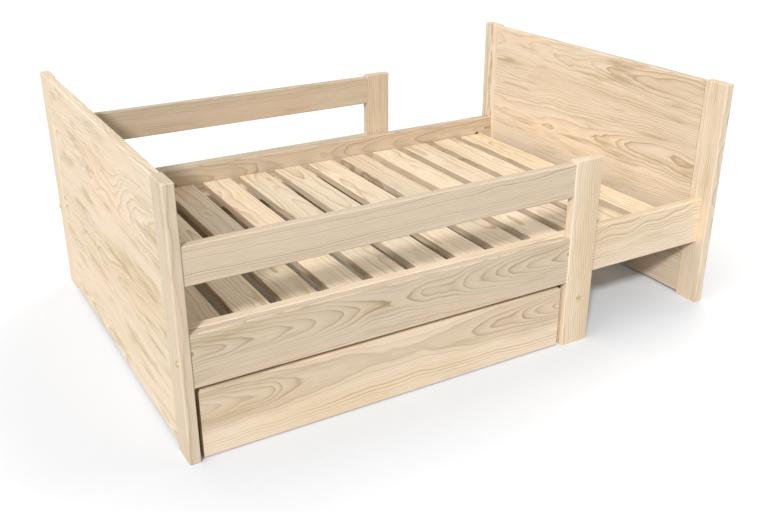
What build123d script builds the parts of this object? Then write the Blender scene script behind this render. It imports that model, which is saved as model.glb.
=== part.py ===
from build123d import *
import os

# Whole bed, pushed together to its shortest length
bed_length = 1474
bed_width = 1020
end_height = 607

# Head and foot ends: two posts with a solid panel between them
end_post_thickness = 25
end_post_width = 70
end_panel_thickness = 22
end_panel_floor_gap = 8
end_panel_top_drop = 4

# Fixed sides: a middle post, a side rail and a guard rail on each side
side_rail_length = 951
side_rail_height = 121
side_rail_floor_gap = 173
guard_rail_height = 83
guard_rail_top_drop = 6
fixed_rail_thickness = 22
middle_post_width = 80
middle_post_thickness = 25
middle_post_height = 486

# Sliding sides: the foot end's long rails run inside the fixed rails
extension_rail_thickness = 25
extension_rail_side_gap = 2
extension_rail_head_gap = 5
glide_gap = 0.3

# Slats and what they lie on
slat_count = 12
slat_width = 86
slat_thickness = 22
slat_top_drop = 53
slat_end_gap = 2
slat_head_gap = 31
slat_foot_gap = 38
ledge_width = 25
ledge_height = 30
bearer_width = 25
bearer_side_gap = 2
cross_rail_thickness = 25
cross_rail_height = 94
head_cleat_thickness = 25
head_cleat_height = 40
head_cleat_end_gap = 6

# Drawer: a box behind a tall front, on four fixed castors
drawer_front_length = 931
drawer_front_height = 160
drawer_front_thickness = 22
drawer_front_recess = 6
drawer_front_floor_gap = 2.5
drawer_front_corner = 9
drawer_front_chamfer = 0.8
drawer_head_gap = 10
drawer_depth = 979
drawer_box_end_inset = 28
drawer_box_height = 114
drawer_board_thickness = 18
drawer_bottom_thickness = 10
drawer_bottom_lip = 6
drawer_groove_depth = 6
drawer_groove_gap = 0.3

# Castors
castor_height = 42
castor_inset = 62
wheel_radius = 18
wheel_width = 14
wheel_tread_chamfer = 2.5
wheel_side_gap = 1
axle_radius = 2.5
axle_running_gap = 0.06
axle_end = 1.5
fork_sheet = 2
fork_foot_width = 14
fork_toe_width = 7
fork_toe_drop = 6
fork_top_width = 26
castor_plate_length = 64
castor_plate_width = 34

# Bolts with barrel nuts
bolt_radius = 3
bolt_head_radius = 6.5
bolt_head_height = 3
bolt_socket_radius = 2.3
bolt_socket_depth = 2
bolt_hole_gap = 0.3
bolt_tip_gap = 3
nut_radius = 7
nut_length = 16
nut_hole_gap = 0.4
nut_floor_gap = 1
nut_from_end = 56
foot_bolt_rise = 67

# Tenons on the rails and tongues on the panels
tenon_length = 14
tenon_thickness = 10
tenon_shoulder = 12
tongue_length = 10
tongue_thickness = 8
tongue_shoulder = 30
tenon_gap = 0.2

# Rounded arrises on the posts, and chamfers on boards and end grain
post_round = 3
board_chamfer = 2
end_chamfer = 1.5

x_axis = Vector(1, 0, 0)
y_axis = Vector(0, 1, 0)
from_base = (Align.CENTER, Align.CENTER, Align.MIN)
from_top = (Align.CENTER, Align.CENTER, Align.MAX)


def block(x_span, y_span, z_span):
    """A plain block between three pairs of limits."""
    spans = [sorted(x_span), sorted(y_span), sorted(z_span)]
    sizes = [high - low for low, high in spans]
    middle = [(low + high) / 2 for low, high in spans]
    return Pos(*middle) * Box(*sizes)


def board(x_span, y_span, z_span, grain):
    """A planed board whose long arrises, along the grain, are eased with chamfers."""
    blank = block(x_span, y_span, z_span)
    return chamfer(blank.edges().filter_by(grain), board_chamfer)


def widened(span, gap):
    """A pair of limits moved apart by a gap at each end."""
    low, high = sorted(span)
    return low - gap, high + gap


def rod(start, along, radius, length):
    """A round bar or bore that begins at a point and runs along a direction."""
    return Plane(origin=start, z_dir=along) * Cylinder(radius, length, align=from_base)


def spread(first, last, count):
    """Evenly spaced places from the first to the last."""
    step = (last - first) / (count - 1)
    return [first + step * index for index in range(count)]


def mirrored(shape):
    """The same piece on the other long side of the bed."""
    return mirror(shape, about=Plane.XZ)


def both_sides(shapes):
    """Pieces or holes of the front side, with those of the rear side."""
    return list(shapes) + [mirrored(shape) for shape in shapes]


# Planes that the pieces share, counted from the middle of the bed and the floor
head_outer = -bed_length / 2
head_inner = head_outer + end_post_thickness
foot_outer = bed_length / 2
foot_inner = foot_outer - end_post_thickness
front = -bed_width / 2
fixed_side_inner = front + middle_post_thickness
fixed_rail_front = fixed_side_inner - fixed_rail_thickness
fixed_rail_centre = (fixed_rail_front + fixed_side_inner) / 2
extension_side_outer = fixed_side_inner + extension_rail_side_gap
extension_side_inner = extension_side_outer + extension_rail_thickness
extension_rail_centre = (extension_side_outer + extension_side_inner) / 2
ledge_inner = extension_side_inner + ledge_width
bearer_outer = ledge_inner + bearer_side_gap
bearer_inner = bearer_outer + bearer_width
middle_post_near = head_inner + side_rail_length
middle_post_far = middle_post_near + middle_post_width
middle_post_centre = (middle_post_near + middle_post_far) / 2
side_rail_top = side_rail_floor_gap + side_rail_height
side_rail_middle = (side_rail_floor_gap + side_rail_top) / 2
carrier_top = side_rail_floor_gap - glide_gap
slat_top = side_rail_top - slat_top_drop
slat_underside = slat_top - slat_thickness
batten_top = slat_underside - glide_gap


# Bolts and barrel nuts
def bolt_length(through):
    """From under the head, through the post, to a tip inside the barrel nut."""
    return through + nut_from_end + nut_radius - bolt_tip_gap


def bolt(seat, inward, through):
    """A low flat-headed bolt with a hexagon socket, on the outside of a post."""
    head = Cylinder(bolt_head_radius, bolt_head_height, align=from_base)
    socket_floor = Pos(0, 0, bolt_head_height - bolt_socket_depth)
    socket = socket_floor * extrude(RegularPolygon(bolt_socket_radius, 6), bolt_socket_depth)
    shank = Cylinder(bolt_radius, bolt_length(through), align=from_top)
    return Plane(origin=seat, z_dir=-inward) * (head - socket + shank)


def bolt_hole(seat, inward, through):
    """A bore through the post and into the rail, as far as the barrel nut."""
    return rod(seat, inward, bolt_radius + bolt_hole_gap, through + nut_from_end)


def barrel_nut(seat, inward, through, to_open_end):
    """A steel cross dowel that the bolt screws into."""
    centre = seat + inward * (through + nut_from_end)
    nut = Plane(origin=centre, z_dir=to_open_end) * Cylinder(nut_radius, nut_length)
    return nut - rod(seat, inward, bolt_radius + bolt_hole_gap / 2, bolt_length(through) + nut_floor_gap)


def barrel_nut_hole(seat, inward, through, to_open_end, to_face):
    """A blind bore for the barrel nut, open on the face where the nut goes in."""
    centre = seat + inward * (through + nut_from_end)
    behind = nut_length / 2 + nut_floor_gap
    start = centre - to_open_end * behind
    return rod(start, to_open_end, nut_radius + nut_hole_gap, behind + to_face)


# Fixed sides: each rail has a stub tenon at both ends, in a mortise of its post
guard_rail_top = middle_post_height - guard_rail_top_drop
guard_rail_span = (guard_rail_top - guard_rail_height, guard_rail_top)
side_rail_span = (side_rail_floor_gap, side_rail_top)
fixed_rail_run = (head_inner, middle_post_near)
fixed_rail_depth = (fixed_rail_front, fixed_side_inner)


def fixed_rail_tenons(height_span, gap):
    """One bar through a fixed rail, which stands out of its ends as the tenons."""
    run = widened(fixed_rail_run, tenon_length + gap)
    depth = widened((fixed_rail_centre, fixed_rail_centre), tenon_thickness / 2 + gap)
    height = widened(height_span, gap - tenon_shoulder)
    return block(run, depth, height)


def fixed_rail(height_span):
    rail = board(fixed_rail_run, fixed_rail_depth, height_span, Axis.X)
    return rail + fixed_rail_tenons(height_span, 0)


head_bolt_place = (Vector(head_outer, fixed_rail_centre, side_rail_middle), x_axis, end_post_thickness)
head_bolt_hole = bolt_hole(*head_bolt_place)
head_nut_hole = barrel_nut_hole(*head_bolt_place, y_axis, fixed_rail_thickness / 2)
fixed_rail_mortises = [fixed_rail_tenons(span, tenon_gap) for span in (side_rail_span, guard_rail_span)]
side_rail = fixed_rail(side_rail_span) - [head_bolt_hole, head_nut_hole]
guard_rail = fixed_rail(guard_rail_span)

# Cross rail between the middle posts: the sliding rails pass over it and the bearers end on it
cross_rail_span = (carrier_top - cross_rail_height, carrier_top)
cross_rail_middle = sum(cross_rail_span) / 2
cross_rail_width = widened((middle_post_centre, middle_post_centre), cross_rail_thickness / 2)
cross_rail_run = (fixed_side_inner, -fixed_side_inner)


def cross_rail_tenons(gap):
    """One bar through the cross rail, which stands out of its ends as the tenons."""
    width = widened((middle_post_centre, middle_post_centre), tenon_thickness / 2 + gap)
    run = widened(cross_rail_run, tenon_length + gap)
    return block(width, run, widened(cross_rail_span, gap - tenon_shoulder))


cross_bolt_place = (Vector(middle_post_centre, front, cross_rail_middle), y_axis, middle_post_thickness)
cross_bolt_hole = bolt_hole(*cross_bolt_place)
cross_nut_hole = barrel_nut_hole(*cross_bolt_place, x_axis, cross_rail_thickness / 2)
cross_rail = board(cross_rail_width, cross_rail_run, cross_rail_span, Axis.Y)
cross_rail += cross_rail_tenons(0)
cross_rail -= both_sides([cross_bolt_hole, cross_nut_hole])


def post(x_span, y_span, height):
    """An upright with rounded arrises and a chamfered top."""
    upright = block(x_span, y_span, (0, height))
    upright = fillet(upright.edges().filter_by(Axis.Z), post_round)
    return chamfer(upright.edges().group_by(Axis.Z)[-1], end_chamfer)


middle_post = post((middle_post_near, middle_post_far), (front, fixed_side_inner), middle_post_height)
middle_post -= fixed_rail_mortises + [cross_rail_tenons(tenon_gap), cross_bolt_hole]

# Head cleat on the panel, and the two slat bearers that lie on it and on the cross rail
head_cleat_inner = head_inner + head_cleat_thickness
head_cleat_run = widened((extension_side_outer, -extension_side_outer), -head_cleat_end_gap)
head_cleat = board((head_inner, head_cleat_inner), head_cleat_run,
                   (carrier_top - head_cleat_height, carrier_top), Axis.Y)
slat_bearer = board((head_inner, max(cross_rail_width)), (bearer_outer, bearer_inner),
                    (carrier_top, batten_top), Axis.X)

# Sliding sides: a long rail with a ledge for the slats, bolted to the foot post
extension_rail_run = (head_inner + extension_rail_head_gap, foot_inner)
extension_rail_depth = (extension_side_outer, extension_side_inner)
foot_bolt_level = side_rail_floor_gap + foot_bolt_rise
foot_bolt_place = (Vector(foot_outer, extension_rail_centre, foot_bolt_level), -x_axis, end_post_thickness)
foot_bolt_hole = bolt_hole(*foot_bolt_place)
foot_nut_hole = barrel_nut_hole(*foot_bolt_place, y_axis, extension_rail_thickness / 2)


def extension_rail_tenon(gap):
    depth = widened((extension_rail_centre, extension_rail_centre), tenon_thickness / 2 + gap)
    return block((foot_inner - tenon_length, foot_inner + tenon_length + gap), depth,
                 widened(side_rail_span, gap - tenon_shoulder))


extension_rail = board(extension_rail_run, extension_rail_depth, side_rail_span, Axis.X)
extension_rail += extension_rail_tenon(0)
extension_rail -= [foot_bolt_hole, foot_nut_hole]
slat_ledge = board(extension_rail_run, (extension_side_inner, ledge_inner),
                   (batten_top - ledge_height, batten_top), Axis.X)

# Head and foot ends: the panel's tongues sit in stopped grooves of the posts
panel_joint = front + end_post_width
panel_run = (panel_joint, -panel_joint)
panel_span = (end_panel_floor_gap, end_height - end_panel_top_drop)


def panel_tongues(panel_depth, gap):
    """One bar across a panel, which stands out of its edges as the tongues."""
    middle = sum(panel_depth) / 2
    depth = widened((middle, middle), tongue_thickness / 2 + gap)
    run = widened(panel_run, tongue_length + gap)
    return block(depth, run, widened(panel_span, gap - tongue_shoulder))


def end_panel(panel_depth):
    panel = board(panel_depth, panel_run, panel_span, Axis.Y)
    return panel + panel_tongues(panel_depth, 0)


head_panel_depth = (head_inner - end_panel_thickness, head_inner)
foot_panel_depth = (foot_inner, foot_inner + end_panel_thickness)
head_panel = end_panel(head_panel_depth)
foot_panel = end_panel(foot_panel_depth)
head_post = post((head_outer, head_inner), (front, panel_joint), end_height)
head_post -= fixed_rail_mortises + [panel_tongues(head_panel_depth, tenon_gap), head_bolt_hole]
foot_post = post((foot_inner, foot_outer), (front, panel_joint), end_height)
foot_post -= [extension_rail_tenon(tenon_gap), panel_tongues(foot_panel_depth, tenon_gap), foot_bolt_hole]

# Slats, evenly spaced between the two ends
first_slat_near = head_inner + slat_head_gap
last_slat_near = foot_inner - slat_foot_gap - slat_width
slat_run = widened((extension_side_inner, -extension_side_inner), -slat_end_gap)
slats = [board((near, near + slat_width), slat_run, (slat_underside, slat_top), Axis.Y)
         for near in spread(first_slat_near, last_slat_near, slat_count)]

# Drawer box: housed corners, and a bottom panel in a groove all round
drawer_front_near = head_inner + drawer_head_gap
drawer_front_run = (drawer_front_near, drawer_front_near + drawer_front_length)
drawer_front_face = fixed_rail_front + drawer_front_recess
drawer_front_back = drawer_front_face + drawer_front_thickness
drawer_front_span = (drawer_front_floor_gap, drawer_front_floor_gap + drawer_front_height)
drawer_rear = drawer_front_face + drawer_depth
drawer_back_front = drawer_rear - drawer_board_thickness
drawer_box_run = widened(drawer_front_run, -drawer_box_end_inset)
drawer_inside_run = widened(drawer_box_run, -drawer_board_thickness)
drawer_inside_depth = (drawer_front_back, drawer_back_front)
drawer_bottom_span = (castor_height, castor_height + drawer_bottom_thickness)
drawer_box_bottom = castor_height - drawer_bottom_lip
drawer_box_span = (drawer_box_bottom, drawer_box_bottom + drawer_box_height)
drawer_side_depth = (drawer_front_back - drawer_groove_depth, drawer_rear)
drawer_back_run = widened(drawer_inside_run, drawer_groove_depth)
drawer_back_depth = (drawer_back_front, drawer_rear)

bottom_reach = drawer_groove_depth - drawer_groove_gap
drawer_bottom = block(widened(drawer_inside_run, bottom_reach), widened(drawer_inside_depth, bottom_reach),
                      drawer_bottom_span)
bottom_groove = block(widened(drawer_inside_run, drawer_groove_depth),
                      widened(drawer_inside_depth, drawer_groove_depth),
                      widened(drawer_bottom_span, drawer_groove_gap))
back_housing = block(widened(drawer_back_run, drawer_groove_gap),
                     widened(drawer_back_depth, drawer_groove_gap),
                     widened(drawer_box_span, drawer_groove_gap))


def drawer_side(run):
    side = board(run, drawer_side_depth, drawer_box_span, Axis.Y)
    return side - bottom_groove - back_housing


def side_housing(run):
    """The groove in the back of the drawer front that takes one side board."""
    return block(widened(run, drawer_groove_gap), widened(drawer_side_depth, drawer_groove_gap),
                 widened(drawer_box_span, drawer_groove_gap))


drawer_head_side_run = (drawer_box_run[0], drawer_inside_run[0])
drawer_foot_side_run = (drawer_inside_run[1], drawer_box_run[1])
drawer_side_head = drawer_side(drawer_head_side_run)
drawer_side_foot = drawer_side(drawer_foot_side_run)
drawer_back = board(drawer_back_run, drawer_back_depth, drawer_box_span, Axis.X) - bottom_groove
drawer_front = block(drawer_front_run, (drawer_front_face, drawer_front_back), drawer_front_span)
drawer_front = fillet(drawer_front.edges().filter_by(Axis.Y).group_by(Axis.Z)[-1], drawer_front_corner)
drawer_front = chamfer(drawer_front.faces().filter_by(Axis.Y).edges(), drawer_front_chamfer)
drawer_front -= [bottom_groove, side_housing(drawer_head_side_run), side_housing(drawer_foot_side_run)]

# Castors under the drawer: folded forks, riveted axles and dished wheels
fork_half_gap = wheel_width / 2 + wheel_side_gap
fork_half_width = fork_half_gap + fork_sheet
fork_plate_underside = castor_height - fork_sheet
axle_half_length = fork_half_width + axle_end
axle_start = Vector(-axle_half_length, 0, wheel_radius)
castor_columns = dict(zip(("head", "foot"), widened(drawer_inside_run, -castor_inset)))
castor_rows = dict(zip(("front", "rear"), widened(drawer_inside_depth, -castor_inset)))
castor_places = {f"{row}_{column}": Pos(castor_columns[column], castor_rows[row], 0)
                 for row in castor_rows for column in castor_columns}


def castor_fork():
    """A sheet steel fork: a screw plate with two cheeks that narrow to the axle."""
    plate_outline = Rectangle(castor_plate_width, castor_plate_length)
    plate = Pos(0, 0, fork_plate_underside) * extrude(plate_outline, fork_sheet)
    half_outline = [(fork_top_width / 2, fork_plate_underside), (fork_foot_width / 2, wheel_radius),
                    (fork_toe_width / 2, wheel_radius - fork_toe_drop)]
    other_half = [(-across, height) for across, height in reversed(half_outline)]
    cheek_outline = make_face(Polyline(half_outline + other_half, close=True))
    cheek_place = Plane(origin=(fork_half_gap, 0, 0), x_dir=(0, 1, 0), z_dir=(1, 0, 0))
    cheek = cheek_place * extrude(cheek_outline, fork_sheet)
    axle_hole = rod(axle_start, x_axis, axle_radius + axle_running_gap, 2 * axle_half_length)
    return plate + cheek + mirror(cheek, about=Plane.YZ) - axle_hole


def castor_wheel():
    """A moulded wheel with an eased tread."""
    tyre = Cylinder(wheel_radius, wheel_width)
    tyre = chamfer(tyre.edges(), wheel_tread_chamfer)
    tyre -= Cylinder(axle_radius + axle_running_gap, wheel_width)
    return Plane(origin=(0, 0, wheel_radius), z_dir=(1, 0, 0)) * tyre


# Every piece under its own name, front and rear as mirror images
pieces = {
    "head_panel": head_panel,
    "foot_panel": foot_panel,
    "cross_rail": cross_rail,
    "head_cleat": head_cleat,
    "drawer_front": drawer_front,
    "drawer_side_head": drawer_side_head,
    "drawer_side_foot": drawer_side_foot,
    "drawer_back": drawer_back,
    "drawer_bottom": drawer_bottom,
}
paired_pieces = {
    "head_post": head_post,
    "middle_post": middle_post,
    "side_rail": side_rail,
    "guard_rail": guard_rail,
    "slat_bearer": slat_bearer,
    "foot_post": foot_post,
    "extension_rail": extension_rail,
    "slat_ledge": slat_ledge,
}
for name, piece in paired_pieces.items():
    pieces[f"{name}_front"] = piece
    pieces[f"{name}_rear"] = mirrored(piece)
for number, slat in enumerate(slats, start=1):
    pieces[f"slat_{number:02d}"] = slat
wheel = castor_wheel()
for name, place in castor_places.items():
    pieces[f"castor_wheel_{name}"] = place * wheel

fork = castor_fork()
axle = rod(axle_start, x_axis, axle_radius, 2 * axle_half_length)
groups = {
    "frame_bolts": both_sides([bolt(*head_bolt_place), bolt(*cross_bolt_place)]),
    "frame_barrel_nuts": both_sides([barrel_nut(*head_bolt_place, y_axis),
                                     barrel_nut(*cross_bolt_place, x_axis)]),
    "extension_bolts": both_sides([bolt(*foot_bolt_place)]),
    "extension_barrel_nuts": both_sides([barrel_nut(*foot_bolt_place, y_axis)]),
    "castor_forks": [place * fork for place in castor_places.values()],
    "castor_axles": [place * axle for place in castor_places.values()],
}
for name, members in groups.items():
    pieces[name] = Compound(children=members)

os.makedirs("parts", exist_ok=True)
for name, piece in pieces.items():
    export_step(piece, f"parts/{name}.step")
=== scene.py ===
import math

import bpy
from mathutils import Matrix, Vector


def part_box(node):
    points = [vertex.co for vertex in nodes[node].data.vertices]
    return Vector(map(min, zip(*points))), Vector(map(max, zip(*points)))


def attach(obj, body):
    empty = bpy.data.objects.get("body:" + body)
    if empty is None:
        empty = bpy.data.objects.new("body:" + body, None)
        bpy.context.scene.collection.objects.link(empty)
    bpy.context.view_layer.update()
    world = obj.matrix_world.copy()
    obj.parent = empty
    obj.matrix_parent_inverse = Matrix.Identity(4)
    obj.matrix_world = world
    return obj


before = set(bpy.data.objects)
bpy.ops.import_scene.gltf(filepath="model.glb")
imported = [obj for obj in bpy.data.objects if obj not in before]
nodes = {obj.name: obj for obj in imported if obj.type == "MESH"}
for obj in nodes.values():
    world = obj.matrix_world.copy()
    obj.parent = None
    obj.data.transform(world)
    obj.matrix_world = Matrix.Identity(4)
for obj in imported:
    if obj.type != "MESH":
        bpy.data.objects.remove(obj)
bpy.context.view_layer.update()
bpy.context.scene.view_settings.view_transform = "Standard"

# Head posts
# Two planed pine uprights, sawn along the trunk so that their stripes run up and down.
# Their arrises are rounded, and the head panel and the fixed rails are tenoned into them.
LENGTHWAYS = Vector((1, 0, 0))
CROSSWAYS = Vector((0, 1, 0))
UPRIGHT = Vector((0, 0, 1))

# Colours of pine: early wood, late wood and resin streaks, then three casts that multiply them
PINE_PALE = (0.795, 0.660, 0.500, 1)
PINE_LATE = (0.470, 0.325, 0.190, 1)
PINE_STREAK = (0.500, 0.385, 0.225, 1)
PINE_CAST = (0.930, 0.905, 0.830, 1)
PINE_BLUSH = (1.030, 0.985, 0.960, 1)
# The heart cast darkens the wood near the heart; on the drawer front it also serves as painted shade under
# the side rail.
PINE_HEART_AND_SHADE = (0.83, 0.815, 0.795, 1)

# Noises of the figure: cycles per metre along, across and through a board, and the fine detail
HEART_NOISES = {
    "Wander": ((1.7, 6.0, 6.0), 2.5),
    "Ripple": ((10.0, 34.0, 34.0), 2.5),
    "Curl": ((13.0, 5.0, 5.0), 0.6),
}
FADE_NOISE = ((3.0, 16.0, 16.0), 1.0)
TONE_NOISE = ((1.5, 7.0, 7.0), 2.0)
STREAK_NOISE = ((6.0, 46.0, 46.0), 2.0)
THREAD_NOISE = ((9.0, 260.0, 260.0), 1.0)
FIBRE_NOISE = ((24.0, 620.0, 620.0), 3.0)
NOISE_MIDDLE = 0.5

# Steps of the figure: where each noise starts and ends to tell, and what it then gives
YEAR_STEP = (0.0, 1.0, 0.45, 1.0)
FADE_STEP = (0.30, 0.62, 0.50, 1.0)
STREAK_STEP = (0.52, 0.72)
THREAD_STEP = (0.36, 0.60, 0.25, 1.0)
CAST_STEP = (0.52, 0.70)
BLUSH_STEP = (0.46, 0.32)
FIBRE_STEP = (0.25, 0.75, 0.94, 1.06)
ROUGH_STEP = (0.0, 1.0, 0.64, 0.48)

# Rings: where in a year's growth the late wood starts and ends, and how far the years differ
LATE_START = 0.66
LATE_END = 0.90
BROAD_SHARE = 0.40
LINE_SHARE = 0.60
GROWTH_SCALE = 0.23
GROWTH_DETAIL = 1.0
GROWTH_REACH = 2.2
BOW_ROUNDING = 0.004
HEART_AND_SHADE_FADE = 0.2

# Surface: the relief that the plane leaves, and a faint gloss
FIBRE_RELIEF = 0.6
GRAIN_BUMP = 0.35
GRAIN_RELIEF = 0.0004
PINE_GLOSS = 0.3

FIGURE_NUMBERS = ("Seed", "Heart Side", "Heart Depth", "Lean", "Bow", "Stave", "Wander", "Ripple", "Curl",
                  "Heartwood And Shade", "Ring Gap", "Contrast", "Streaks", "Shade")
FIGURE_COLOURS = ("Pale", "Late", "Streak")
MIX_COLOUR_INPUTS = (0, 6, 7)
MIX_COLOUR_OUTPUT = 2


def feed(tree, value, socket):
    """Joins a socket to an input, or writes a plain value on it."""
    if isinstance(value, bpy.types.NodeSocket):
        tree.links.new(value, socket)
    else:
        socket.default_value = value


def calculate(tree, operation, *values):
    """One Math node with its values, and the socket that comes out."""
    node = tree.nodes.new("ShaderNodeMath")
    node.operation = operation
    for value, socket in zip(values, node.inputs):
        feed(tree, value, socket)
    return node.outputs[0]


def remap(tree, value, low, high, to_low=0.0, to_high=1.0):
    """A smooth step from one range to another, held at both ends."""
    node = tree.nodes.new("ShaderNodeMapRange")
    node.interpolation_type = "SMOOTHSTEP"
    for part, socket in zip((value, low, high, to_low, to_high), node.inputs):
        feed(tree, part, socket)
    return node.outputs[0]


def tint(tree, amount, first, second, blend="MIX"):
    """A mix of two colours."""
    node = tree.nodes.new("ShaderNodeMix")
    node.data_type = "RGBA"
    node.blend_type = blend
    for part, index in zip((amount, first, second), MIX_COLOUR_INPUTS):
        feed(tree, part, node.inputs[index])
    return node.outputs[MIX_COLOUR_OUTPUT]


def scale_colour(tree, colour, amount):
    """A colour made lighter or darker all through."""
    node = tree.nodes.new("ShaderNodeVectorMath")
    node.operation = "SCALE"
    feed(tree, colour, node.inputs[0])
    feed(tree, amount, node.inputs["Scale"])
    return node.outputs[0]


def grain_noise(tree, place, pattern, seed):
    """Noise drawn out along the grain, by a pattern of cycles per metre and detail."""
    stretch, detail = pattern
    scaled = tree.nodes.new("ShaderNodeVectorMath")
    scaled.operation = "MULTIPLY"
    feed(tree, place, scaled.inputs[0])
    feed(tree, stretch, scaled.inputs[1])
    noise = tree.nodes.new("ShaderNodeTexNoise")
    noise.noise_dimensions = "4D"
    feed(tree, scaled.outputs[0], noise.inputs["Vector"])
    feed(tree, seed, noise.inputs["W"])
    feed(tree, 1.0, noise.inputs["Scale"])
    feed(tree, detail, noise.inputs["Detail"])
    return noise.outputs


def axes_of(tree, place):
    """The three parts of a place: along the grain, across the board and through it."""
    split = tree.nodes.new("ShaderNodeSeparateXYZ")
    feed(tree, place, split.inputs[0])
    return split.outputs


def drift(tree, place, pattern, seed):
    """Two unlike noises from one noise node, each swinging about nought."""
    split = tree.nodes.new("ShaderNodeSeparateColor")
    feed(tree, grain_noise(tree, place, pattern, seed)["Color"], split.inputs[0])
    return [calculate(tree, "SUBTRACT", split.outputs[index], NOISE_MIDDLE) for index in range(2)]


def heart_distance(tree, given):
    """How far each point of a board lies from the leaning, bowed and wandering heart of its tree."""
    along, across, through = axes_of(tree, given["Place"])
    side = calculate(tree, "SUBTRACT", across, given["Heart Side"])
    depth = calculate(tree, "ADD", through, given["Heart Depth"])
    depth = calculate(tree, "MULTIPLY_ADD", along, given["Lean"], depth)
    from_middle = calculate(tree, "SQRT", calculate(tree, "MULTIPLY_ADD", along, along, BOW_ROUNDING))
    depth = calculate(tree, "MULTIPLY_ADD", from_middle, given["Bow"], depth)
    for name, pattern in HEART_NOISES.items():
        sway, heave = drift(tree, given["Place"], pattern, given["Seed"])
        side = calculate(tree, "MULTIPLY_ADD", sway, given[name], side)
        depth = calculate(tree, "MULTIPLY_ADD", heave, given[name], depth)
    side = calculate(tree, "PINGPONG", side, given["Stave"])
    out = tree.nodes.new("ShaderNodeCombineXYZ")
    feed(tree, side, out.inputs[0])
    feed(tree, depth, out.inputs[1])
    distance = tree.nodes.new("ShaderNodeVectorMath")
    distance.operation = "LENGTH"
    feed(tree, out.outputs[0], distance.inputs[0])
    return distance.outputs["Value"]


def late_wood(tree, given, distance):
    """The dark late wood of each ring: a slow rise, a sharp line and a quick fall, stronger in some years."""
    rings = calculate(tree, "DIVIDE", distance, given["Ring Gap"])
    growth = tree.nodes.new("ShaderNodeTexNoise")
    growth.noise_dimensions = "1D"
    feed(tree, calculate(tree, "ADD", rings, given["Seed"]), growth.inputs["W"])
    feed(tree, GROWTH_SCALE, growth.inputs["Scale"])
    feed(tree, GROWTH_DETAIL, growth.inputs["Detail"])
    rings = calculate(tree, "MULTIPLY_ADD", growth.outputs["Fac"], GROWTH_REACH, rings)
    within = calculate(tree, "FRACT", rings)
    fall = remap(tree, within, LATE_END, 1.0, 1.0, 0.0)
    broad = calculate(tree, "MULTIPLY", remap(tree, within, 0.0, LATE_END), fall)
    line = calculate(tree, "MULTIPLY", remap(tree, within, LATE_START, LATE_END), fall)
    year = tree.nodes.new("ShaderNodeTexWhiteNoise")
    year.noise_dimensions = "1D"
    feed(tree, calculate(tree, "ADD", calculate(tree, "FLOOR", rings), given["Seed"]), year.inputs["W"])
    strength = remap(tree, year.outputs["Value"], *YEAR_STEP)
    fade = grain_noise(tree, given["Place"], FADE_NOISE, given["Seed"])["Fac"]
    strength = calculate(tree, "MULTIPLY", strength, remap(tree, fade, *FADE_STEP))
    broad = calculate(tree, "MULTIPLY", broad, BROAD_SHARE)
    line = calculate(tree, "MULTIPLY", line, LINE_SHARE)
    late = calculate(tree, "MULTIPLY", calculate(tree, "ADD", broad, line), strength)
    return calculate(tree, "MULTIPLY", late, given["Contrast"])


def make_pine_figure():
    """The figure of a pine board as one group: rings, streaks, a darker heart that is partly the wood's tone
    and partly painted shade, fibres and slow changes of tone.
    """
    group = bpy.data.node_groups.new("pine_figure", "ShaderNodeTree")
    sockets = [("Place", "Vector")]
    sockets += [(name, "Float") for name in FIGURE_NUMBERS]
    sockets += [(name, "Color") for name in FIGURE_COLOURS]
    for name, kind in sockets:
        group.interface.new_socket(name, in_out="INPUT", socket_type=f"NodeSocket{kind}")
    for name, kind in (("Colour", "Color"), ("Roughness", "Float"), ("Height", "Float")):
        group.interface.new_socket(name, in_out="OUTPUT", socket_type=f"NodeSocket{kind}")
    given = group.nodes.new("NodeGroupInput").outputs
    result = group.nodes.new("NodeGroupOutput").inputs

    distance = heart_distance(group, given)
    late = late_wood(group, given, distance)
    tone, patch, thread, fibre = [grain_noise(group, given["Place"], pattern, given["Seed"])["Fac"]
                                  for pattern in (TONE_NOISE, STREAK_NOISE, THREAD_NOISE, FIBRE_NOISE)]
    threads = remap(group, thread, *THREAD_STEP)
    streak = calculate(group, "MULTIPLY", remap(group, patch, *STREAK_STEP), threads)
    streak = calculate(group, "MULTIPLY", streak, given["Streaks"])
    # Darker wood near the heart, which on the drawer front also serves as painted shade under the side rail.
    heart_and_shade_start = calculate(group, "MULTIPLY", given["Heartwood And Shade"], 1.0 - HEART_AND_SHADE_FADE)
    heart_and_shade_end = calculate(group, "MULTIPLY", given["Heartwood And Shade"], 1.0 + HEART_AND_SHADE_FADE)
    heart = remap(group, distance, heart_and_shade_start, heart_and_shade_end, 1.0, 0.0)

    colour = tint(group, late, given["Pale"], given["Late"])
    colour = tint(group, streak, colour, given["Streak"])
    colour = tint(group, remap(group, tone, *CAST_STEP), colour, PINE_CAST, "MULTIPLY")
    colour = tint(group, remap(group, tone, *BLUSH_STEP), colour, PINE_BLUSH, "MULTIPLY")
    colour = tint(group, heart, colour, PINE_HEART_AND_SHADE, "MULTIPLY")
    shade = calculate(group, "MULTIPLY", remap(group, fibre, *FIBRE_STEP), given["Shade"])
    feed(group, scale_colour(group, colour, shade), result["Colour"])
    feed(group, remap(group, late, *ROUGH_STEP), result["Roughness"])
    feed(group, calculate(group, "MULTIPLY_ADD", fibre, FIBRE_RELIEF, late), result["Height"])
    return group


pine_figure = make_pine_figure()


def lay_figure(tree, node, grain, face):
    """The part's coordinates, turned to run along, across and through one board."""
    low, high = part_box(node)
    mapping = tree.nodes.new("ShaderNodeMapping")
    mapping.vector_type = "TEXTURE"
    mapping.inputs["Location"].default_value = (low + high) / 2
    turn = Matrix((grain, face.cross(grain), face)).transposed()
    mapping.inputs["Rotation"].default_value = turn.to_euler()
    feed(tree, tree.nodes.new("ShaderNodeTexCoord").outputs["Object"], mapping.inputs["Vector"])
    return mapping.outputs["Vector"]


def dress(node, material):
    """Puts one material on a node in place of the plain one that it came with."""
    nodes[node].data.materials.clear()
    nodes[node].data.materials.append(material)


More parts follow.
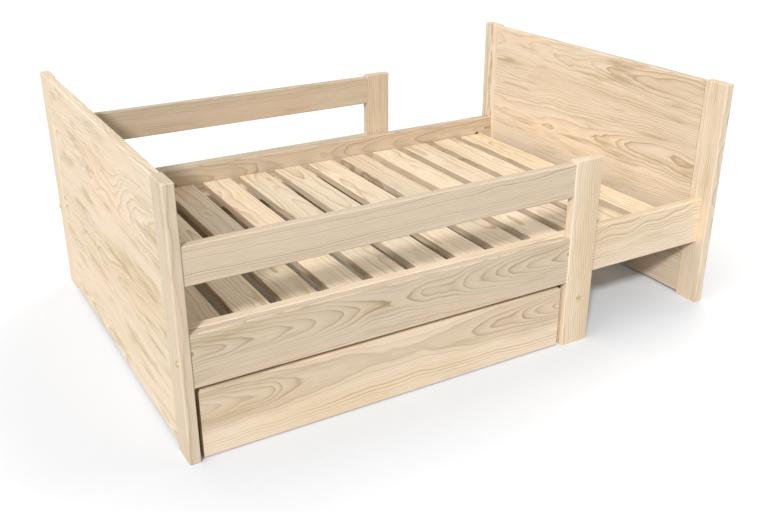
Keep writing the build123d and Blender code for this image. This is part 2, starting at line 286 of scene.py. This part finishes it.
def pine_board(node, grain, face, seed, side=0.0, depth=0.06, lean=0.02, bow=0.0, stave=1.0, wander=0.016,
               ripple=0.003, curl=0.0, heartwood_and_shade=0.0, ring=0.005, contrast=1.0, streaks=0.45, shade=1.0,
               pale=PINE_PALE, late=PINE_LATE, streak=PINE_STREAK):
    """Gives one board its own cut of pine: where the heart lay, how it leaned, and how wide the rings are."""
    material = bpy.data.materials.new(f"pine_{node}")
    material.use_nodes = True
    tree = material.node_tree
    surface = tree.nodes["Principled BSDF"]
    figure = tree.nodes.new("ShaderNodeGroup")
    figure.node_tree = pine_figure
    feed(tree, lay_figure(tree, node, grain, face), figure.inputs["Place"])
    numbers = (seed, side, depth, lean, bow, stave, wander, ripple, curl,
               heartwood_and_shade, ring, contrast, streaks, shade)
    for name, value in zip(FIGURE_NUMBERS + FIGURE_COLOURS, numbers + (pale, late, streak)):
        feed(tree, value, figure.inputs[name])
    bump = tree.nodes.new("ShaderNodeBump")
    bump.inputs["Strength"].default_value = GRAIN_BUMP
    bump.inputs["Distance"].default_value = GRAIN_RELIEF
    feed(tree, figure.outputs["Height"], bump.inputs["Height"])
    feed(tree, figure.outputs["Colour"], surface.inputs["Base Color"])
    feed(tree, figure.outputs["Roughness"], surface.inputs["Roughness"])
    feed(tree, bump.outputs["Normal"], surface.inputs["Normal"])
    surface.inputs["Specular IOR Level"].default_value = PINE_GLOSS
    dress(node, material)


pine_board("head_post_front", UPRIGHT, -LENGTHWAYS, seed=1.7, side=0.09, depth=0.04, lean=0.012, curl=0.008,
           ring=0.006, shade=0.91)
pine_board("head_post_rear", UPRIGHT, -LENGTHWAYS, seed=2.3, side=-0.09, depth=0.04, lean=0.015)

# Head panel
# A wide pine panel with its grain across the bed, planed flush with the posts on the inside.
# Tongues on its two ends sit in the grooves of the posts.
# The panel is a little lighter all over: painted light for what the white floor throws up on it.
pine_board("head_panel", CROSSWAYS, -LENGTHWAYS, seed=3.6, side=0.06, stave=0.11, wander=0.07, ripple=0.010,
           curl=0.008, ring=0.006, contrast=0.8, streaks=0.9, shade=1.03)

# Fixed side rails and guard rails
# Planed pine rails with eased arrises, one low and one high on each side.
# Their stub tenons sit in the head posts and the middle posts.
pine_board("side_rail_front", LENGTHWAYS, -CROSSWAYS, seed=4.9, side=0.018, lean=0.0, bow=-0.09,
           wander=0.034, ripple=0.006, curl=0.011, ring=0.0055, shade=0.885)
# This rear rail is made darker all over: painted shade for the weaker light on the bed's inner faces.
pine_board("side_rail_rear", LENGTHWAYS, CROSSWAYS, seed=5.3, side=0.02, lean=0.0, bow=-0.07, ring=0.0045,
           shade=0.82)
pine_board("guard_rail_front", LENGTHWAYS, -CROSSWAYS, seed=6.1, side=0.075, depth=0.03, lean=0.03,
           wander=0.030, ripple=0.006, curl=0.008, ring=0.0042, streaks=0.2, shade=0.92)
# This rear rail is made darker all over: painted shade for the weaker light on the bed's inner faces.
pine_board("guard_rail_rear", LENGTHWAYS, CROSSWAYS, seed=7.7, side=-0.08, depth=0.03, wander=0.030,
           ripple=0.006, curl=0.010, ring=0.0045, shade=0.77)

# Middle posts
# Shorter pine uprights that carry the foot ends of the fixed rails.
# A bolt through each one draws it on to the end of the cross rail.
pine_board("middle_post_front", UPRIGHT, -CROSSWAYS, seed=8.4, side=0.06, depth=0.03, lean=0.01,
           wander=0.020, ripple=0.004, curl=0.020, contrast=0.9, shade=1.10)
pine_board("middle_post_rear", UPRIGHT, CROSSWAYS, seed=9.2, side=-0.08, depth=0.05, ripple=0.008,
           ring=0.0055, shade=0.87)

# Cross rail, head cleat and slat bearers
# Plain battens with planed arrises, which carry the slats and the sliding rails.
# The cross rail is tenoned into the middle posts, and the bearers lie on it and on the cleat.
pine_board("cross_rail", CROSSWAYS, -LENGTHWAYS, seed=10.6)
pine_board("head_cleat", CROSSWAYS, LENGTHWAYS, seed=11.8)
pine_board("slat_bearer_front", LENGTHWAYS, UPRIGHT, seed=12.2)
pine_board("slat_bearer_rear", LENGTHWAYS, UPRIGHT, seed=13.4)

# Bed bolts and barrel nuts
# Flat-headed steel bolts with hexagon sockets, plated yellow, through the posts and into the rails.
# Each one screws into a dark steel barrel nut that lies across the rail.
CLOUD_EDGES = (0.3, 0.7)
CLOUD_DETAIL = 3.0
METAL_CLOUDS = 220.0
METAL_TONES = (0.8, 1.1)
METAL_SHINE = 0.9


def cloudy(name, colour, clouds, tones, roughness, metallic):
    """A smooth finish that goes a little cloudy from place to place, in tone and in gloss."""
    material = bpy.data.materials.new(name)
    material.use_nodes = True
    tree = material.node_tree
    surface = tree.nodes["Principled BSDF"]
    place = tree.nodes.new("ShaderNodeTexCoord").outputs["Object"]
    cloud = grain_noise(tree, place, ((clouds, clouds, clouds), CLOUD_DETAIL), 0.0)["Fac"]
    tone = remap(tree, cloud, *CLOUD_EDGES, *tones)
    feed(tree, scale_colour(tree, colour, tone), surface.inputs["Base Color"])
    feed(tree, remap(tree, cloud, *CLOUD_EDGES, *roughness), surface.inputs["Roughness"])
    surface.inputs["Metallic"].default_value = metallic
    return material


yellow_zinc = cloudy("yellow_zinc", (0.60, 0.57, 0.31), METAL_CLOUDS, METAL_TONES, (0.42, 0.60), METAL_SHINE)
plain_steel = cloudy("plain_steel", (0.16, 0.155, 0.15), METAL_CLOUDS, METAL_TONES, (0.42, 0.60), METAL_SHINE)
for section in ("frame", "extension"):
    dress(f"{section}_bolts", yellow_zinc)
    dress(f"{section}_barrel_nuts", plain_steel)

# Sliding rails and ledges
# Two long pine rails that run inside the fixed rails, bolted to the foot posts.
# A ledge is glued and screwed along the inside of each, under the ends of the slats.
pine_board("extension_rail_front", LENGTHWAYS, -CROSSWAYS, seed=14.1, side=0.085, lean=0.04, wander=0.030,
           ripple=0.004, curl=0.020, shade=1.12)
# This rear rail is made darker all over: painted shade for the weaker light on the bed's inner faces.
pine_board("extension_rail_rear", LENGTHWAYS, -CROSSWAYS, seed=15.9, side=0.02, depth=0.05, lean=0.0,
           bow=-0.07, wander=0.030, ripple=0.008, curl=0.012, ring=0.006, shade=0.76)
pine_board("slat_ledge_front", LENGTHWAYS, UPRIGHT, seed=16.3)
pine_board("slat_ledge_rear", LENGTHWAYS, UPRIGHT, seed=17.5)

# Foot posts and foot panel
# The same end as at the head: two uprights and a wide panel with its grain across the bed.
# It carries the sliding rails and moves out with them.
pine_board("foot_post_front", UPRIGHT, -LENGTHWAYS, seed=18.2, side=0.08, depth=0.03, ripple=0.004,
           curl=0.014, shade=1.03)
pine_board("foot_post_rear", UPRIGHT, -LENGTHWAYS, seed=19.6, side=-0.01, depth=0.05, wander=0.03,
           ripple=0.012, ring=0.006)
pine_board("foot_panel", CROSSWAYS, -LENGTHWAYS, seed=20.4, side=-0.05, depth=0.050, stave=0.10, wander=0.07,
           ripple=0.010, curl=0.006, ring=0.0055, streaks=0.9, shade=0.97)

# Slats
# Twelve plain pine boards across the bed, loose on the ledges and the bearers.
# No two come from the same plank, and their long side faces are greyed with painted shade, as falls in the
# gaps between the slats.
SLATS = 12
SLAT_PALE = (0.82, 0.690, 0.510, 1)
SLAT_LATE = (0.48, 0.320, 0.170, 1)
SLAT_SEED = 30
SEED_STEP = 1.37
SIDE_SWING = 0.03
SIDE_TURN = 2.1
DEPTH_MIDDLE = 0.035
DEPTH_SWING = 0.02
DEPTH_TURN = 1.3
LEAN_SWING = 0.03
LEAN_TURN = 2.7
SHADE_SWING = 0.06
SHADE_TURN = 3.7
# Painted shade: a grey cast on the slats' long side faces, standing for the shade in the gaps between them.
SLAT_EDGE_SHADE = (0.77, 0.76, 0.75, 1)
SLAT_EDGE_SHADE_DEPTH = 0.0016


def shade_slat_edges(node):
    """Greys the two long side faces of a slat with painted shade, as falls in the gaps between the slats."""
    tree = nodes[node].data.materials[0].node_tree
    figure = tree.nodes["Group"]
    low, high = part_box(node)
    edge = (high.x - low.x) / 2
    across = axes_of(tree, figure.inputs["Place"].links[0].from_socket)[1]
    edge_shade = remap(tree, calculate(tree, "ABSOLUTE", across), edge - SLAT_EDGE_SHADE_DEPTH, edge)
    feed(tree, tint(tree, edge_shade, figure.outputs["Colour"], SLAT_EDGE_SHADE, "MULTIPLY"),
         tree.nodes["Principled BSDF"].inputs["Base Color"])


for number in range(1, SLATS + 1):
    slat = f"slat_{number:02d}"
    pine_board(slat, CROSSWAYS, UPRIGHT, seed=SLAT_SEED + SEED_STEP * number,
               side=SIDE_SWING * math.sin(SIDE_TURN * number),
               depth=DEPTH_MIDDLE + DEPTH_SWING * math.cos(DEPTH_TURN * number),
               lean=LEAN_SWING * math.cos(LEAN_TURN * number),
               wander=0.045, ripple=0.007, curl=0.010, ring=0.0085,
               shade=1.0 + SHADE_SWING * math.sin(SHADE_TURN * number), pale=SLAT_PALE, late=SLAT_LATE)
    shade_slat_edges(slat)

# Drawer
# A pine front with rounded corners, its upper part darker, partly the wood near the heart and partly painted
# shade under the side rail, on a box of thinner boards.
# The corners of the box are housed, and its plywood bottom sits in a groove all round.
PLY_PALE = (0.78, 0.72, 0.63, 1)
PLY_LATE = (0.62, 0.54, 0.44, 1)
# Its upper part is darker: partly the wood near the heart and partly painted shade under the side rail.
pine_board("drawer_front", LENGTHWAYS, -CROSSWAYS, seed=50.3, side=0.035, lean=0.0, bow=-0.09, wander=0.034,
           ripple=0.006, curl=0.012, heartwood_and_shade=0.062, ring=0.0052, contrast=0.95, shade=1.13)
pine_board("drawer_side_head", CROSSWAYS, -LENGTHWAYS, seed=51.7)
pine_board("drawer_side_foot", CROSSWAYS, LENGTHWAYS, seed=52.9)
pine_board("drawer_back", LENGTHWAYS, CROSSWAYS, seed=53.2)
pine_board("drawer_bottom", LENGTHWAYS, UPRIGHT, seed=54.8, depth=0.05, stave=0.2, wander=0.08, ring=0.012,
           contrast=0.4, streaks=0.1, pale=PLY_PALE, late=PLY_LATE, streak=PLY_LATE)

# Castors
# Folded steel forks on riveted axles, bright plated, with moulded nylon wheels.
# The wheels are a natural off-white, a little clouded.
NYLON_CLOUDS = 160.0
bright_zinc = cloudy("bright_zinc", (0.58, 0.58, 0.57), METAL_CLOUDS, METAL_TONES, (0.30, 0.48), METAL_SHINE)
nylon = cloudy("castor_nylon", (0.66, 0.65, 0.61), NYLON_CLOUDS, (0.88, 1.04), (0.42, 0.56), 0.0)
castor_wheels = [f"castor_wheel_{row}_{column}" for row in ("front", "rear") for column in ("head", "foot")]
dress("castor_forks", bright_zinc)
dress("castor_axles", bright_zinc)
for wheel in castor_wheels:
    dress(wheel, nylon)

# Wood screws
# Steel screws with low round heads and six-pointed sockets, plated yellow, of which only the heads show.
# They hold the ledges to the sliding rails, the cleat to the head panel and the castors to the drawer.
HEAD_RADIUS = 0.004
HEAD_SIDES = 24
HEAD_SUNK = 0.0006
HEAD_PROUD = 0.0004
HEAD_CROWN = 0.0004
HEAD_RIM = 0.0011
SOCKET_RIM = 0.0008
SOCKET_POINTS = 6
SOCKET_HOLLOW = -0.9
SOCKET_NECK = 0.74
SOCKET_DEPTH = 0.0006
FACING_UP = 0.9
SMOOTH_BELOW = math.radians(35)
LEDGE_SCREWS = 6
CLEAT_SCREWS = 5
END_MARGIN = 0.09
PLATE_SCREW_ACROSS = 0.010
PLATE_SCREW_ALONG = 0.024
PLATE_UNDERSIDE = 0.040


def select_parts(piece, items, wanted):
    """Selects, in edit mode, only the faces or points of a piece that a test picks out."""
    bpy.ops.mesh.select_all(action="DESELECT")
    bpy.ops.object.mode_set(mode="OBJECT")
    for item in getattr(piece.data, items):
        item.select = wanted(item)
    bpy.ops.object.mode_set(mode="EDIT")


def in_socket_hollow(point):
    """Whether a point of the socket's rim lies between two of its points."""
    on_rim = point.co.xy.length < HEAD_RADIUS - HEAD_RIM - SOCKET_RIM / 2
    on_crown = point.co.z > HEAD_PROUD + HEAD_CROWN / 2
    around = math.atan2(point.co.y, point.co.x)
    return on_rim and on_crown and math.cos(SOCKET_POINTS * around) < SOCKET_HOLLOW


def model_screw_head():
    """One screw head on the origin, facing up: a crowned disc with a socket pressed into it."""
    bpy.ops.object.select_all(action="DESELECT")
    bpy.ops.mesh.primitive_cylinder_add(vertices=HEAD_SIDES, radius=HEAD_RADIUS, depth=HEAD_SUNK + HEAD_PROUD)
    head = bpy.context.object
    bpy.ops.object.mode_set(mode="EDIT")
    bpy.ops.transform.translate(value=(0, 0, (HEAD_PROUD - HEAD_SUNK) / 2))
    bpy.ops.mesh.select_mode(type="FACE")
    select_parts(head, "polygons", lambda face: face.normal.z > FACING_UP)
    bpy.ops.mesh.inset(thickness=HEAD_RIM)
    bpy.ops.transform.translate(value=(0, 0, HEAD_CROWN))
    bpy.ops.mesh.inset(thickness=SOCKET_RIM)
    bpy.ops.mesh.select_mode(type="VERT")
    select_parts(head, "vertices", in_socket_hollow)
    bpy.ops.transform.resize(value=(SOCKET_NECK, SOCKET_NECK, 1), center_override=(0, 0, 0))
    bpy.ops.mesh.select_mode(type="FACE")
    select_parts(head, "polygons",
                 lambda face: len(face.vertices) == HEAD_SIDES and face.normal.z > FACING_UP)
    bpy.ops.mesh.extrude_region_move(TRANSFORM_OT_translate={"value": (0, 0, -SOCKET_DEPTH)})
    bpy.ops.object.mode_set(mode="OBJECT")
    bpy.ops.object.shade_smooth_by_angle(angle=SMOOTH_BELOW)
    head.data.materials.append(yellow_zinc)
    return head


screw_head = model_screw_head()


def drive_screws(name, body, facing, places):
    """Copies the screw head to each place, turned to face out of its board, and joins the copies."""
    bpy.ops.object.select_all(action="DESELECT")
    for index, place in enumerate(places):
        copy = screw_head.copy()
        copy.data = screw_head.data.copy()
        bpy.context.scene.collection.objects.link(copy)
        turn = facing.to_track_quat("Z", "Y").to_matrix() @ Matrix.Rotation(index, 3, "Z")
        copy.data.transform(Matrix.Translation(place) @ turn.to_4x4())
        copy.select_set(True)
        bpy.context.view_layer.objects.active = copy
    bpy.ops.object.join()
    screws = bpy.context.object
    screws.name = name
    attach(screws, body)


def evenly(low, high, count):
    """Places along a board, kept in from its two ends."""
    step = (high - low - 2 * END_MARGIN) / (count - 1)
    return [low + END_MARGIN + step * index for index in range(count)]


for side, facing in (("front", CROSSWAYS), ("rear", -CROSSWAYS)):
    low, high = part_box(f"slat_ledge_{side}")
    inner_face = high.y if side == "front" else low.y
    drive_screws(f"ledge_screws_{side}", "extension", facing,
                 [Vector((x, inner_face, (low.z + high.z) / 2)) for x in evenly(low.x, high.x, LEDGE_SCREWS)])
low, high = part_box("head_cleat")
drive_screws("cleat_screws", "bed_frame", LENGTHWAYS,
             [Vector((high.x, y, (low.z + high.z) / 2)) for y in evenly(low.y, high.y, CLEAT_SCREWS)])
plate_screws = []
for wheel in castor_wheels:
    low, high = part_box(wheel)
    middle = (low + high) / 2
    for across in (-PLATE_SCREW_ACROSS, PLATE_SCREW_ACROSS):
        for along in (-PLATE_SCREW_ALONG, PLATE_SCREW_ALONG):
            plate_screws.append(Vector((middle.x + across, middle.y + along, PLATE_UNDERSIDE)))
drive_screws("castor_screws", "drawer", -UPRIGHT, plate_screws)
bpy.data.objects.remove(screw_head)

# Floor
# A plain white floor without an end. Seen by the camera it is white and keeps the shadow,
# and painted shade greys it softly beside the bed, where the bed stands between it and the foot and the back.
# What it throws back on the object is held down, as on a matt grey floor.
FLOOR_SPAN = 80
FLOOR_SEEN = (1.0, 1.0, 1.0, 1)
FLOOR_PAINTED_SHADE = (0.73, 0.757, 0.795, 1)
FLOOR_BOUNCE = (0.46, 0.46, 0.46, 1)
FLOOR_ROUGHNESS = 0.9
SHADE_TILT = (0.76, 0.46, 0.45)
NEAR_REACH = 0.65
MOST_SHUT = 0.5


def seen_directly(tree):
    """One where a ray comes from the camera, or from a gloss or through glass, and nought elsewhere."""
    rays = tree.nodes.new("ShaderNodeLightPath").outputs
    seen = calculate(tree, "MAXIMUM", rays["Is Camera Ray"], rays["Is Glossy Ray"])
    return calculate(tree, "MAXIMUM", seen, rays["Is Transmission Ray"])


bpy.ops.object.select_all(action="DESELECT")
bpy.ops.mesh.primitive_plane_add(size=FLOOR_SPAN)
floor = bpy.context.object
floor.name = "floor"
floor_material = bpy.data.materials.new("floor_white")
floor_material.use_nodes = True
floor_tree = floor_material.node_tree
floor_surface = floor_tree.nodes["Principled BSDF"]
wall = floor_tree.nodes.new("ShaderNodeCombineXYZ")
for part, socket in zip(SHADE_TILT, wall.inputs):
    feed(floor_tree, part, socket)
# Painted shade: an ambient occlusion tilted towards the foot and the back greys the floor beside the bed
# where the camera sees it.
openness = floor_tree.nodes.new("ShaderNodeAmbientOcclusion")
feed(floor_tree, NEAR_REACH, openness.inputs["Distance"])
feed(floor_tree, wall.outputs[0], openness.inputs["Normal"])
in_the_open = remap(floor_tree, openness.outputs["AO"], MOST_SHUT, 1.0)
floor_seen = tint(floor_tree, in_the_open, FLOOR_PAINTED_SHADE, FLOOR_SEEN)
feed(floor_tree, tint(floor_tree, seen_directly(floor_tree), FLOOR_BOUNCE, floor_seen),
     floor_surface.inputs["Base Color"])
floor_surface.inputs["Roughness"].default_value = FLOOR_ROUGHNESS
floor_surface.inputs["Specular IOR Level"].default_value = 0.0
floor.data.materials.append(floor_material)

# Light
# A hard-edged key light from the front and the left, a broad fill from over the head end,
# and an even white surround that the camera sees as plain white.
KEY_DIRECTION = (1, 1, -1)
KEY_STRENGTH = 2.4
KEY_SPREAD = 6
FILL_DIRECTION = (0.6, 0.15, -0.78)
FILL_STRENGTH = 1.09
FILL_SPREAD = 70
SURROUND_LIGHT = 0.42
SURROUND_SEEN = 1.0


def distant_light(name, direction, energy, spread):
    """A lamp so far off that it lights everything alike, with a soft edge to its shadows."""
    data = bpy.data.lights.new(name, "SUN")
    data.energy = energy
    data.angle = math.radians(spread)
    lamp = bpy.data.objects.new(name, data)
    lamp.rotation_euler = Vector(direction).to_track_quat("-Z", "Y").to_euler()
    bpy.context.scene.collection.objects.link(lamp)


distant_light("key_light", KEY_DIRECTION, KEY_STRENGTH, KEY_SPREAD)
distant_light("fill_light", FILL_DIRECTION, FILL_STRENGTH, FILL_SPREAD)
world = bpy.data.worlds.new("studio")
bpy.context.scene.world = world
world.use_nodes = True
world_tree = world.node_tree
surround = world_tree.nodes["Background"]
surround.inputs["Color"].default_value = (1, 1, 1, 1)
feed(world_tree, remap(world_tree, seen_directly(world_tree), 0.0, 1.0, SURROUND_LIGHT, SURROUND_SEEN),
     surround.inputs["Strength"])

# Camera
# A plain camera at the photograph's place, with a short tele lens,
# looking down on the drawer side and the head end.
IMAGE_WIDTH = 768
FOCAL_PIXELS = 924.38
SENSOR_WIDTH = 36
CAMERA_PLACE = (-1.17412, -2.04196, 1.16301)
CAMERA_TILT = math.radians(65.8)
CAMERA_TURN = math.radians(-30.28)
camera_data = bpy.data.cameras.new("camera")
camera_data.sensor_width = SENSOR_WIDTH
camera_data.lens = FOCAL_PIXELS * SENSOR_WIDTH / IMAGE_WIDTH
camera = bpy.data.objects.new("camera", camera_data)
camera.location = CAMERA_PLACE
camera.rotation_euler = (CAMERA_TILT, 0, CAMERA_TURN)
bpy.context.scene.collection.objects.link(camera)
bpy.context.scene.camera = camera
